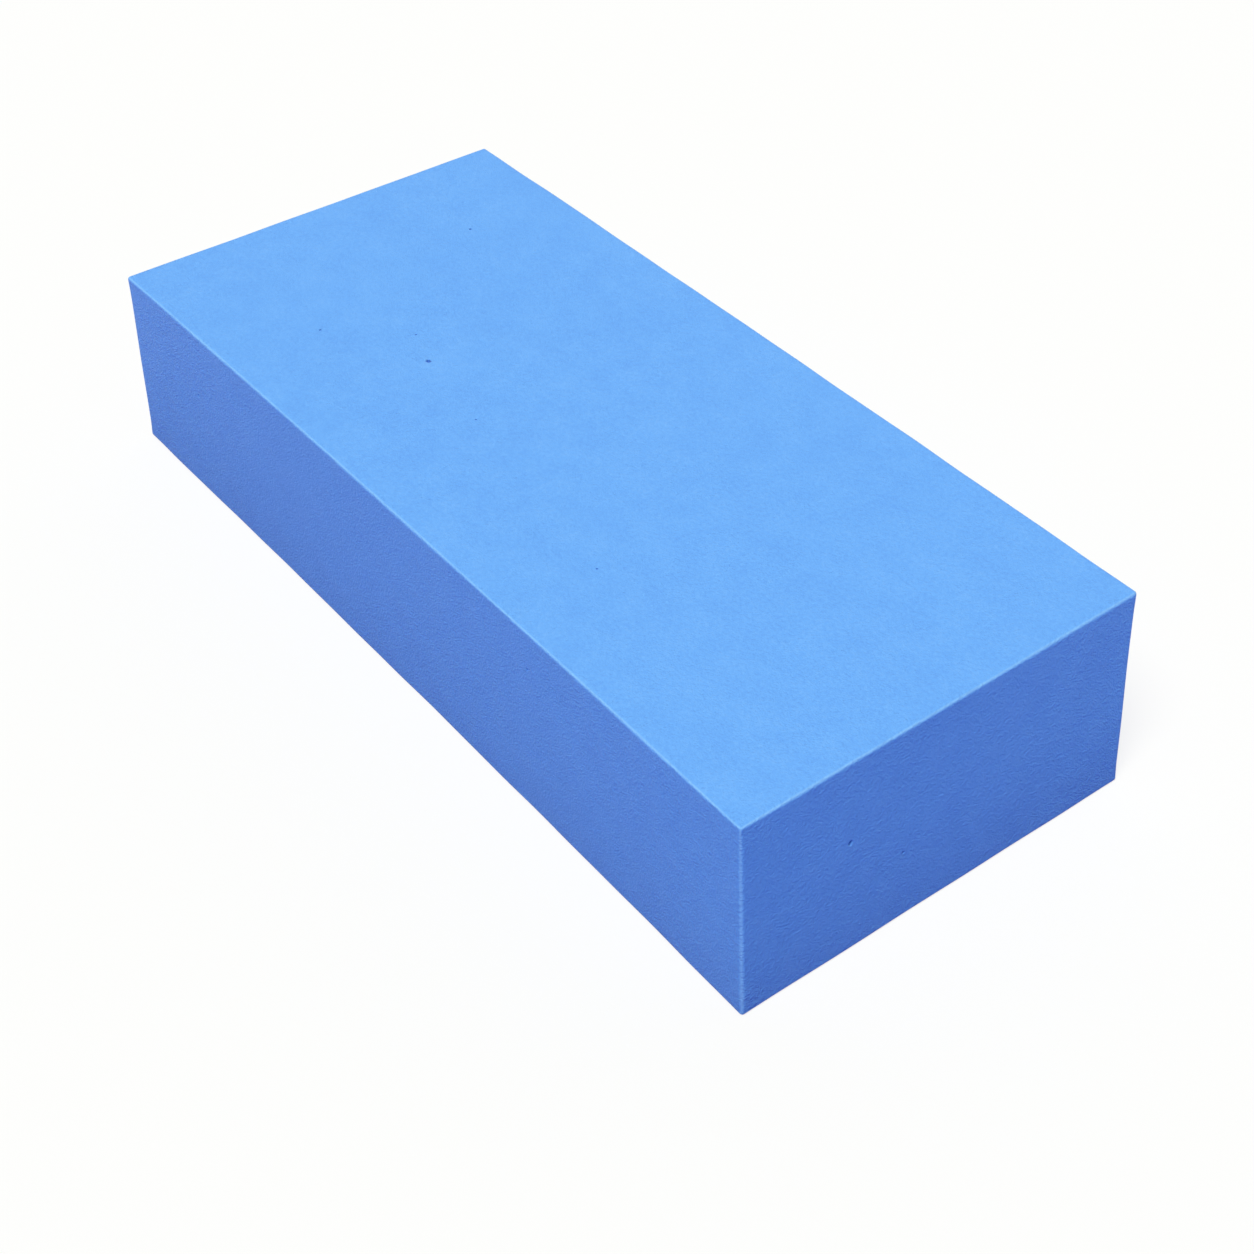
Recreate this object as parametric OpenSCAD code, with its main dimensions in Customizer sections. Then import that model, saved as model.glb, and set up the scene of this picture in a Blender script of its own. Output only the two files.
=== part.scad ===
// Car wash sponge: one block of fine-celled foam, cut square, with softened edges and corners.
// Millimetres. +X runs along the length, +Y across the width and +Z up.
// The origin is the middle of the underside, which is the face that the block rests on.

/* [Block] */
// Length of the block
block_l = 200; // [120:1:300]
// Width of the block
block_w = 88; // [50:1:160]
// Thickness of the block
block_t = 42; // [20:1:90]

/* [Edges] */
// Radius of the four upright corners, seen from above
corner_r = 1.6; // [1.4:0.1:20]
// Radius of the edges round the top and bottom faces
edge_r = 1.1; // [0.3:0.1:1.4]

/* [Hidden] */
$fn = 64;
foam_blue = [0.36, 0.60, 0.95];

// The edge is swept round the corner, so it can be at most as large as the corner's radius.
round_r = min(edge_r, corner_r);
// Distance from the middle to the axis of an upright corner, along X and along Y
corner_x = block_l / 2 - corner_r;
corner_y = block_w / 2 - corner_r;

// Rectangle of w by t with corners of radius r: the section of the block, end on or side on.
module rounded_section(w, t, r) {
    square([w - 2 * r, t], center = true);
    square([w, t - 2 * r], center = true);
    for (side = [-1, 1], level = [-1, 1])
        translate([side * (w / 2 - r), level * (t / 2 - r)])
            circle(r = r);
}

// One upright corner: the round end of the section turned about the corner's own axis.
module corner_post() {
    rotate_extrude()
        intersection() {
            rounded_section(2 * corner_r, block_t, round_r);
            translate([0, -block_t / 2]) square([corner_r, block_t]);
        }
}

// The stretch between the corners along Y, which holds both end faces.
module end_span() {
    rotate([90, 0, 0])
        linear_extrude(2 * corner_y, center = true)
            rounded_section(block_l, block_t, round_r);
}

// The stretch between the corners along X, which holds both long side faces.
module side_span() {
    rotate([90, 0, 90])
        linear_extrude(2 * corner_x, center = true)
            rounded_section(block_w, block_t, round_r);
}

module foam_block() {
    color(foam_blue)
        translate([0, 0, block_t / 2]) {
            end_span();
            side_span();
            for (x = [-corner_x, corner_x], y = [-corner_y, corner_y])
                translate([x, y, 0])
                    corner_post();
        }
}

foam_block();
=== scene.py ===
import math

import bpy
import numpy as np
from mathutils import Matrix, Vector


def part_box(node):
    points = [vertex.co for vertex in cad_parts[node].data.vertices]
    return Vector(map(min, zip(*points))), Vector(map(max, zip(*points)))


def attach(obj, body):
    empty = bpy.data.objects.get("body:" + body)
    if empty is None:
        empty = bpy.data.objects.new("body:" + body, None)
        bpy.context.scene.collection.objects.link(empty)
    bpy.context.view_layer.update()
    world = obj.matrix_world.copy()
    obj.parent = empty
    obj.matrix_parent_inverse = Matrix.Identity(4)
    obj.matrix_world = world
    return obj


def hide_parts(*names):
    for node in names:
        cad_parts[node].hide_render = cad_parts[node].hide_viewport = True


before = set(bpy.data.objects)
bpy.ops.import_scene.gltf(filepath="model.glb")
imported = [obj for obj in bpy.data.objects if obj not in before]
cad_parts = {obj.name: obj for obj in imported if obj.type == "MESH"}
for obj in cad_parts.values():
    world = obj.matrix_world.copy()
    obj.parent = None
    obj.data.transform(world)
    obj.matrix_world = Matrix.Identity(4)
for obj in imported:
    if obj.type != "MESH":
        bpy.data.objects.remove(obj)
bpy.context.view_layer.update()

# A car wash sponge: one block of blue fine-celled foam, lying on a pale studio floor.
# Metres. +X runs along the block, +Y across it and +Z up, with the origin under its middle.
# The camera looks from +X and -Y, so the -Y side shows at the left and the +X end at the right.

MM = 0.001
NODE = "foam_block"
LOW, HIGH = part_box(NODE)
HALF = (HIGH - LOW) / 2
CENTRE = (HIGH + LOW) / 2

# ---------------------------------------------------------------- camera
CAMERA_AZIMUTH = 53.76
CAMERA_ELEVATION = 41.01
CAMERA_ROLL = -1.03
CAMERA_DISTANCE = 435.9 * MM
CAMERA_RIGHT = 7.43 * MM                # how far the view's middle lies right of the block's
CAMERA_UP = -22.61 * MM                 # and above it
LENS_MM = 64.86
SENSOR_MM = 36.0

# ---------------------------------------------------------------- form of the foam
GRID_STEP = 1.2 * MM                    # size of a mesh square on the flat faces
EDGE_ZONE = 1.0 * MM                    # width of the close grid lines along every edge
EDGE_STEPS = 6                          # grid lines over half of a rounded edge
EDGE_RADIUS = 0.6 * MM                  # along the top and bottom faces
CORNER_RADIUS = 0.9 * MM                # down the four upright edges
EDGE_UNEVEN = 0.10                      # share by which the radius wanders along an edge
RIPPLE = 0.06 * MM                      # height of the slow unevenness of the cut faces

# The block isn't quite square: foam is cut soft. Half amplitudes, in metres.
END_LEAN = 1.07 * MM                    # both ends lean in towards the top
SIDE_SPREAD = 0.73 * MM                 # the -Y side is longer than the +Y side
SIDE_LEAN = 0.21 * MM                   # the top leans along X, each side its own way
THICKER_END = 0.68 * MM                 # the top is higher at +X than at -X
TOP_TWIST = 0.10 * MM
NEAR_HOLLOW_TOP = 0.43 * MM             # the -Y side dips in at mid length, at its top edge
NEAR_HOLLOW_FOOT = 0.53 * MM            # and at its foot
FAR_BULGE = 0.04 * MM                   # the +Y side stands out at mid length
TOP_CROWN = 0.38 * MM                   # the top face rises at mid length


def ripple(points, wavelength, seed, waves=7):
    """A smooth seeded wave field, about -1 to 1, at points of shape (n, 3)."""
    rng = np.random.default_rng(seed)
    total = np.zeros(len(points))
    for _ in range(waves):
        heading = rng.normal(size=3)
        heading /= np.linalg.norm(heading)
        length = wavelength * rng.uniform(0.6, 1.6)
        total += np.sin(points @ heading * (2 * math.pi / length) + rng.uniform(0, 2 * math.pi))
    return total / math.sqrt(waves / 2) / 2


# ---------------------------------------------------------------- open pores
# Faces are named by axis and side. A pore is (first place, second place, width) in millimetres,
# where the places run along the face's two axes in X, Y, Z order, from the block's origin.
FACES = {
    "top": (2, 1), "underside": (2, -1),
    "near_side": (1, -1), "far_side": (1, 1),
    "near_end": (0, 1), "far_end": (0, -1),
}
PORES = {
    "top": [(-35.1, -12.6, 0.95), (-71.9, 21.7, 0.50), (-57.8, -23.4, 0.45),
            (36.9, -24.7, 0.40), (-12.9, -16.4, 0.35), (-44.5, -9.4, 0.35)],
    "near_side": [(-73.5, 26.0, 0.55), (42.5, 33.6, 0.5)],
    "near_end": [(-21.0, 24.7, 0.85), (-9.0, 15.0, 0.5)],
}
SPARE_PORES = {"underside": 9, "far_side": 4, "far_end": 2}
SPARE_WIDTHS = (0.4, 0.95)
PATCH = 3                               # a pore's patch reaches this many squares each way
# Rings of a pore from its patch inwards: (radius, depth), both as shares of its half width.
PORE_RINGS = ((2.1, 0.0), (1.4, 0.02), (1.15, 0.10), (1.02, 0.30), (0.97, 0.65), (0.9, 1.05),
              (0.75, 1.4), (0.5, 1.65), (0.25, 1.75))
PORE_FLOOR = 1.8


def spare_pores(face, count, seed):
    """Pores for a face that no picture shows: seeded places, well inside the face and apart."""
    rng = np.random.default_rng(seed)
    axis, _ = FACES[face]
    first, second = [k for k in range(3) if k != axis]
    margin, apart = 8.0, 10.0
    found = []
    while len(found) < count:
        spot = [rng.uniform(-HALF[k] / MM + margin, HALF[k] / MM - margin) + CENTRE[k] / MM
                for k in (first, second)]
        if all(math.dist(spot, other[:2]) > apart for other in found):
            found.append((spot[0], spot[1], rng.uniform(*SPARE_WIDTHS)))
    return found


# ---------------------------------------------------------------- mesh
def grid_lines(half):
    """Places from -half to half: even inside, and close where the edge rounds over."""
    inside = half - EDGE_ZONE
    count = round(2 * inside / GRID_STEP)
    middle = list(np.linspace(-inside, inside, count + 1))
    turn = math.pi / 4 / EDGE_STEPS
    rim = [inside + EDGE_ZONE * math.tan(k * turn) for k in range(1, EDGE_STEPS + 1)]
    return [-r for r in reversed(rim)] + middle + rim


class Skin:
    """The surface before it is rounded: points on a sharp box, with how deep each one is sunk."""

    def __init__(self):
        self.points, self.sunk, self.inward, self.pore = [], [], [], []
        self.faces = []
        self.known = {}

    def add(self, point, depth=0.0, inward=(0, 0, 0), pore=0.0):
        self.points.append(point)
        self.sunk.append(depth)
        self.inward.append(inward)
        self.pore.append(pore)
        return len(self.points) - 1

    def corner(self, key, lines):
        """The shared grid vertex at key, made when first asked for."""
        if key not in self.known:
            self.known[key] = self.add(tuple(lines[k][key[k]] for k in range(3)))
        return self.known[key]

    def face(self, corners, flip):
        self.faces.append(tuple(reversed(corners)) if flip else tuple(corners))


def pore_ring(skin, spec, place, angles, radius, depth, axis, sign):
    """One ring of a pore's wall. spec is (centre first, centre second, half width, phase)."""
    cu, cv, half, phase = spec
    first, second = [k for k in range(3) if k != axis]
    ring = []
    for angle in angles:
        wobble = 1 + 0.10 * math.cos(2 * angle + phase) + 0.06 * math.cos(3 * angle - 2 * phase)
        reach = radius * half * wobble
        point = list(place)
        point[first] = cu + reach * math.cos(angle)
        point[second] = cv + reach * math.sin(angle)
        inward = [0, 0, 0]
        inward[axis] = -sign
        ring.append(skin.add(tuple(point), depth * half, tuple(inward), min(1.0, depth / PORE_FLOOR)))
    return ring


def build_face(skin, lines, name, pores):
    """Lays one face's squares, and opens its pores in patches of them."""
    axis, sign = FACES[name]
    side = list(FACES).index(name)
    first, second = [k for k in range(3) if k != axis]
    end = len(lines[axis]) - 1 if sign > 0 else 0
    flip = (sign < 0) != (axis == 1)

    def corner(i, j):
        key = [0, 0, 0]
        key[axis], key[first], key[second] = end, i, j
        return skin.corner(tuple(key), lines)

    def nearest(values, wanted):
        return min(range(len(values)), key=lambda k: abs(values[k] - wanted))

    taken = set()
    for number, (u, v, width) in enumerate(pores):
        u, v = u * MM - CENTRE[first], v * MM - CENTRE[second]
        i0, j0 = nearest(lines[first], u), nearest(lines[second], v)
        taken |= {(i, j) for i in range(i0 - PATCH, i0 + PATCH) for j in range(j0 - PATCH, j0 + PATCH)}
        border = [(i, j0 - PATCH) for i in range(i0 - PATCH, i0 + PATCH)]
        border += [(i0 + PATCH, j) for j in range(j0 - PATCH, j0 + PATCH)]
        border += [(i, j0 + PATCH) for i in range(i0 + PATCH, i0 - PATCH, -1)]
        border += [(i0 - PATCH, j) for j in range(j0 + PATCH, j0 - PATCH, -1)]
        angles = [math.atan2(lines[second][j] - v, lines[first][i] - u) for i, j in border]
        place = [0.0, 0.0, 0.0]
        place[axis] = lines[axis][end]
        spec = (u, v, width * MM / 2, 1.7 * number + side)
        rings = [[corner(i, j) for i, j in border]]
        for radius, depth in PORE_RINGS:
            rings.append(pore_ring(skin, spec, place, angles, radius, depth, axis, sign))
        for outer, inner in zip(rings, rings[1:]):
            for k in range(len(outer)):
                m = (k + 1) % len(outer)
                skin.face((outer[k], outer[m], inner[m], inner[k]), flip)
        inward = [0, 0, 0]
        inward[axis] = -sign
        place[first], place[second] = u, v
        bottom = skin.add(tuple(place), PORE_FLOOR * spec[2], tuple(inward), 1.0)
        last = rings[-1]
        for k in range(len(last)):
            skin.face((last[k], last[(k + 1) % len(last)], bottom), flip)
    for i in range(len(lines[first]) - 1):
        for j in range(len(lines[second]) - 1):
            if (i, j) not in taken:
                square = (corner(i, j), corner(i + 1, j), corner(i + 1, j + 1), corner(i, j + 1))
                skin.face(square, flip)


def rounded(points):
    """Takes points of the sharp box to the block with rounded edges. Gives each one's normal too."""
    half = np.array(HALF)
    near_rim = np.clip((half[2] - np.abs(points[:, 2])) / (4 * MM), 0, 1)
    radius = EDGE_RADIUS + (CORNER_RADIUS - EDGE_RADIUS) * near_rim
    radius *= 1 + EDGE_UNEVEN * ripple(points, 30 * MM, seed=3)
    core = np.clip(points, -(half - radius[:, None]), half - radius[:, None])
    out = points - core
    length = np.linalg.norm(out, axis=1, keepdims=True)
    return core + out / length * radius[:, None], out / length


def warped(points):
    """Bends the block as soft foam lies, by the modes named at the top. The underside stays flat."""
    x, y, z = (points / np.array(HALF)).T
    up = (1 + z) / 2
    mid = 1 - x ** 2
    near, far = (1 - y) / 2, (1 + y) / 2
    dx = -END_LEAN * x * z - SIDE_SPREAD * x * y - SIDE_LEAN * y * z
    hollow = NEAR_HOLLOW_FOOT + (NEAR_HOLLOW_TOP - NEAR_HOLLOW_FOOT) * up
    dy = mid * (near * hollow + far * FAR_BULGE)
    dz = up * (THICKER_END * x + TOP_TWIST * x * y + TOP_CROWN * mid)
    return points + np.stack([dx, dy, dz], 1)


def foam_mesh():
    """The block as one closed mesh. Attribute edge marks the rounded edges, and pore the pores' insides."""
    skin = Skin()
    lines = [grid_lines(h) for h in HALF]
    for number, name in enumerate(FACES):
        pores = PORES.get(name) or spare_pores(name, SPARE_PORES.get(name, 0), seed=20 + number)
        build_face(skin, lines, name, pores)
    sharp = np.array(skin.points)
    surface, normal = rounded(sharp)
    surface += normal * (RIPPLE * ripple(sharp, 22 * MM, seed=7))[:, None]
    surface += np.array(skin.inward) * np.array(skin.sunk)[:, None]
    surface = warped(surface)
    surface[:, 2] = np.maximum(surface[:, 2], -HALF[2])
    turned = np.sort(np.abs(normal), axis=1)[:, 1]
    edge = np.clip(turned / math.sin(math.radians(45)), 0, 1)

    mesh = bpy.data.meshes.new("foam_sponge")
    mesh.from_pydata((surface + np.array(CENTRE)).tolist(), [], skin.faces)
    mesh.validate()
    mesh.polygons.foreach_set("use_smooth", [True] * len(mesh.polygons))
    for name, values in (("edge", edge), ("pore", np.array(skin.pore))):
        layer = mesh.attributes.new(name, "FLOAT", "POINT")
        layer.data.foreach_set("value", values.astype(np.float32))
    mesh.update()
    return mesh


# ---------------------------------------------------------------- materials
class Nodes:
    """Short calls for building one material's or the world's node tree."""

    def __init__(self, tree):
        self.tree = tree
        tree.nodes.clear()

    def add(self, kind, inputs=None, **settings):
        node = self.tree.nodes.new(kind)
        for name, value in settings.items():
            setattr(node, name, value)
        for name, value in (inputs or {}).items():
            socket = node.inputs[name]
            if isinstance(value, bpy.types.NodeSocket):
                self.tree.links.new(value, socket)
            else:
                socket.default_value = value
        return node

    def math(self, operation, a, b=0.0):
        return self.add("ShaderNodeMath", {0: a, 1: b}, operation=operation).outputs[0]

    def vector(self, operation, a, b=(0.0, 0.0, 0.0), result="Vector"):
        return self.add("ShaderNodeVectorMath", {0: a, 1: b}, operation=operation).outputs[result]

    def noise(self, place, scale, detail=2.0, roughness=0.5):
        node = self.add("ShaderNodeTexNoise", {"Vector": place, "Scale": scale, "Detail": detail,
                                               "Roughness": roughness})
        return node.outputs["Fac"]

    def cells(self, place, scale):
        return self.add("ShaderNodeTexVoronoi", {"Vector": place, "Scale": scale}).outputs["Distance"]

    def ramp(self, value, low, high, to_low=0.0, to_high=1.0):
        """value from low..high to to_low..to_high, held at the ends."""
        node = self.add("ShaderNodeMapRange", {"Value": value, "From Min": low, "From Max": high,
                                               "To Min": to_low, "To Max": to_high})
        return node.outputs["Result"]

    def mix(self, factor, a, b):
        """A colour between a and b, each a colour or a socket."""
        node = self.add("ShaderNodeMix", {"Factor": factor}, data_type="RGBA")
        for socket, value in ((node.inputs[6], a), (node.inputs[7], b)):
            if isinstance(value, bpy.types.NodeSocket):
                self.tree.links.new(value, socket)
            else:
                socket.default_value = (*value, 1.0)
        return node.outputs[2]


FOAM_BLUE = (0.140, 0.402, 0.940)
FOAM_DEEP = (0.100, 0.300, 0.830)
FOAM_PALE = (0.205, 0.480, 0.980)
FOAM_WEAR_AND_HIGHLIGHT = (0.250, 0.545, 1.000)       # along the cut edges: partly wear, partly a painted highlight
PORE_PAINTED_SHADE = (0.075, 0.230, 0.700)       # painted shade down inside an open pore
CELLS_PER_METRE = 2600                  # how fine each layer of the foam's pattern is
GRAIN_PER_METRE = 1150
PATCHES_PER_METRE = 160
CLOUDS_PER_METRE = 26
BUMP_DEPTH = 0.18 * MM


def foam_material():
    """Matte fine-celled foam: open cells, a soft grain, slow mottling, paler edges (partly wear, partly a
    painted highlight) and painted shade in the pores.
    """
    material = bpy.data.materials.new("blue_foam")
    material.use_nodes = True
    n = Nodes(material.node_tree)
    place = n.add("ShaderNodeTexCoord").outputs["Object"]
    cells = n.cells(place, CELLS_PER_METRE)
    grain = n.noise(place, GRAIN_PER_METRE, detail=3.0, roughness=0.6)
    patches = n.noise(place, PATCHES_PER_METRE, detail=3.0)
    clouds = n.noise(place, CLOUDS_PER_METRE, detail=2.0)

    shade = n.math("ADD", n.ramp(cells, 0.1, 0.7, 0.07, -0.04), n.ramp(grain, 0.3, 0.7, -0.09, 0.09))
    shade = n.math("ADD", shade, n.ramp(patches, 0.3, 0.7, -0.05, 0.05))
    shade = n.math("ADD", shade, n.ramp(clouds, 0.3, 0.7, -0.02, 0.02))
    edge = n.add("ShaderNodeAttribute", attribute_name="edge").outputs["Fac"]
    # Paler rounded edges: partly wear, partly a painted highlight.
    wear_and_highlight = n.math("MULTIPLY", n.ramp(edge, 0.35, 0.9), n.ramp(patches, 0.25, 0.75, 0.6, 0.95))
    pore = n.add("ShaderNodeAttribute", attribute_name="pore").outputs["Fac"]

    colour = n.mix(n.ramp(shade, 0.0, -0.35), FOAM_BLUE, FOAM_DEEP)
    colour = n.mix(n.ramp(shade, 0.0, 0.35), colour, FOAM_PALE)
    colour = n.mix(wear_and_highlight, colour, FOAM_WEAR_AND_HIGHLIGHT)
    # Painted shade inside the pores, darker with depth.
    colour = n.mix(n.ramp(pore, 0.01, 0.22), colour, PORE_PAINTED_SHADE)

    height = n.math("ADD", n.math("MULTIPLY", cells, 0.6), n.math("MULTIPLY", grain, 0.9))
    height = n.math("ADD", height, n.math("MULTIPLY", patches, 0.7))
    bump = n.add("ShaderNodeBump", {"Height": height, "Strength": 1.0, "Distance": BUMP_DEPTH})
    roughness = n.ramp(grain, 0.3, 0.7, 0.62, 0.74)
    shader = n.add("ShaderNodeBsdfPrincipled", {
        "Base Color": colour, "Roughness": roughness, "Normal": bump.outputs["Normal"], "IOR": 1.45,
        "Specular IOR Level": 0.25, "Sheen Weight": 0.12, "Sheen Roughness": 0.5})
    n.add("ShaderNodeOutputMaterial", {"Surface": shader.outputs["BSDF"]})
    return material


# ---------------------------------------------------------------- floor, light and camera
FLOOR_WHITE = 0.988                     # what the camera sees: just under white
SHADOW_SHARE = 0.25                     # how much of the floor's own shading shows in it
FLOOR_LIT = 0.89                        # the floor's own colour, which the lamps bring to the same white
FLOOR_OPEN = (0.12, 0.17, 0.66)         # what lights the block's sides from below
FLOOR_FOOT_PAINTED_SHADOW = (0.00, 0.00, 0.42)         # the same close to its foot: a painted shadow round the foot, tinted with a painted blue bounce from the block
FLOOR_GLOSS = 0.85                      # what the block's sheen reflects
FLOOR_HALF = 4.0
FOOT_SHADE = 40 * MM                    # width of that painted shadow strip round the foot
KEY_FROM = (0.29, -0.47, 1.10)
KEY_STRENGTH = 3.22
KEY_COLOUR = (1.00, 1.00, 0.86)
KEY_SPREAD = 28.0
SKY_LOW, SKY_BACK = 0.11, 0.58
SKY_COLOUR = (0.96, 1.00, 1.30)


def floor():
    """A pale floor. The camera sees it near white, with the block's shadow; the block sees it dimmer and
    blue, with a painted shadow strip round its foot.
    """
    mesh = bpy.data.meshes.new("floor")
    f = FLOOR_HALF
    mesh.from_pydata([(-f, -f, 0), (f, -f, 0), (f, f, 0), (-f, f, 0)], [], [(0, 1, 2, 3)])
    plane = bpy.data.objects.new("floor", mesh)
    bpy.context.scene.collection.objects.link(plane)
    material = bpy.data.materials.new("pale_floor")
    material.use_nodes = True
    n = Nodes(material.node_tree)
    place = n.add("ShaderNodeTexCoord").outputs["Object"]
    beyond = n.vector("ABSOLUTE", place)
    beyond = n.vector("SUBTRACT", beyond, (HALF.x, HALF.y, 1.0))
    beyond = n.vector("MAXIMUM", beyond, (0.0, 0.0, 0.0))
    away = n.vector("LENGTH", beyond, result="Value")
    # open_floor is 0 in the painted shadow strip round the foot: in the light the floor passes to the block
    # and in its reflection in the sheen.
    open_floor = n.ramp(away, 0.2 * FOOT_SHADE, FOOT_SHADE)
    bounce = n.mix(open_floor, FLOOR_FOOT_PAINTED_SHADOW, FLOOR_OPEN)
    gloss = n.mix(open_floor, (0.0, 0.0, 0.0), (FLOOR_GLOSS,) * 3)
    path = n.add("ShaderNodeLightPath").outputs
    colour = n.mix(path["Is Glossy Ray"], bounce, gloss)
    colour = n.mix(path["Is Camera Ray"], colour, (FLOOR_LIT,) * 3)
    lit = n.add("ShaderNodeBsdfDiffuse", {"Color": colour})
    plain = n.add("ShaderNodeEmission", {"Color": (FLOOR_WHITE,) * 3 + (1,), "Strength": 1.0})
    share = n.math("MULTIPLY", path["Is Camera Ray"], 1 - SHADOW_SHARE)
    both = n.add("ShaderNodeMixShader", {0: share, 1: lit.outputs[0], 2: plain.outputs[0]})
    n.add("ShaderNodeOutputMaterial", {"Surface": both.outputs[0]})
    mesh.materials.append(material)


def sky():
    """Soft light from all round, a little stronger from behind so that the far sides aren't black."""
    world = bpy.data.worlds.new("studio")
    bpy.context.scene.world = world
    world.use_nodes = True
    n = Nodes(world.node_tree)
    heading = n.add("ShaderNodeTexCoord").outputs["Generated"]
    behind = Vector((-KEY_FROM[0], -KEY_FROM[1], 0)).normalized()
    turned = n.vector("DOT_PRODUCT", heading, behind, result="Value")
    strength = n.ramp(turned, 0.0, 0.9, SKY_LOW, SKY_BACK)
    soft = n.add("ShaderNodeBackground", {"Color": (*SKY_COLOUR, 1), "Strength": strength})
    white = n.add("ShaderNodeBackground", {"Color": (1, 1, 1, 1), "Strength": 0.985})
    seen = n.add("ShaderNodeLightPath").outputs["Is Camera Ray"]
    both = n.add("ShaderNodeMixShader", {0: seen, 1: soft.outputs[0], 2: white.outputs[0]})
    n.add("ShaderNodeOutputWorld", {"Surface": both.outputs[0]})


def key_light():
    lamp = bpy.data.lights.new("key", "SUN")
    lamp.energy = KEY_STRENGTH
    lamp.color = KEY_COLOUR
    lamp.angle = math.radians(KEY_SPREAD)
    key = bpy.data.objects.new("key", lamp)
    key.rotation_mode = "QUATERNION"
    key.rotation_quaternion = Vector(KEY_FROM).to_track_quat("Z", "Y")
    bpy.context.scene.collection.objects.link(key)


def camera():
    az, el, roll = map(math.radians, (CAMERA_AZIMUTH, CAMERA_ELEVATION, CAMERA_ROLL))
    back = Vector((math.sin(az) * math.cos(el), -math.cos(az) * math.cos(el), math.sin(el)))
    level = Vector((math.cos(az), math.sin(az), 0))
    plumb = back.cross(level)
    right = math.cos(roll) * level + math.sin(roll) * plumb
    up = math.cos(roll) * plumb - math.sin(roll) * level
    data = bpy.data.cameras.new("camera")
    data.sensor_width, data.lens = SENSOR_MM, LENS_MM
    data.clip_start, data.clip_end = 0.01, 20
    cam = bpy.data.objects.new("camera", data)
    cam.matrix_world = Matrix((right, up, back)).transposed().to_4x4()
    cam.location = CENTRE + CAMERA_RIGHT * right + CAMERA_UP * up + CAMERA_DISTANCE * back
    bpy.context.scene.collection.objects.link(cam)
    bpy.context.scene.camera = cam


camera()
floor()
sky()
key_light()

sponge = bpy.data.objects.new("foam_sponge", foam_mesh())
bpy.context.scene.collection.objects.link(sponge)
sponge.data.materials.append(foam_material())
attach(sponge, "root")
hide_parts(NODE)

bpy.context.scene.view_settings.view_transform = "Standard"
